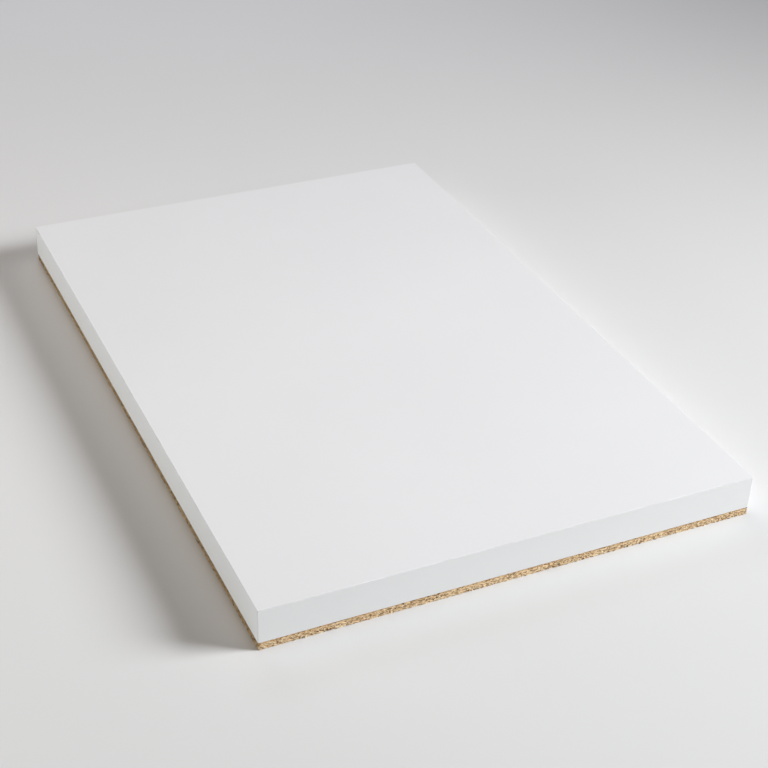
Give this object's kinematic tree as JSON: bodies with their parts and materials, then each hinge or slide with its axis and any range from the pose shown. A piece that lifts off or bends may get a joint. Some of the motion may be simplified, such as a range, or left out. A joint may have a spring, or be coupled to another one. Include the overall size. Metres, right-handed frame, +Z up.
{
  "type": "white faced fibreboard panel",
  "caption": "Flat rectangular board with a thick smooth white upper slab bonded flush on a thin bare chipboard base, for shelving, worktops and panelling.",
  "frame": {"origin": "middle of the panel's underside, on the surface it lies on", "axes": "+Z up through the thickness, +Y along the length, +X along the width"},
  "size_m": [0.4, 0.6, 0.0348],
  "materials": {
    "white_face": "satin",
    "bare_chipboard": "matte"
  },
  "bodies": {
    "root": {"white_slab": "white_face", "chipboard_base": "bare_chipboard"}
  },
  "joints": []
}
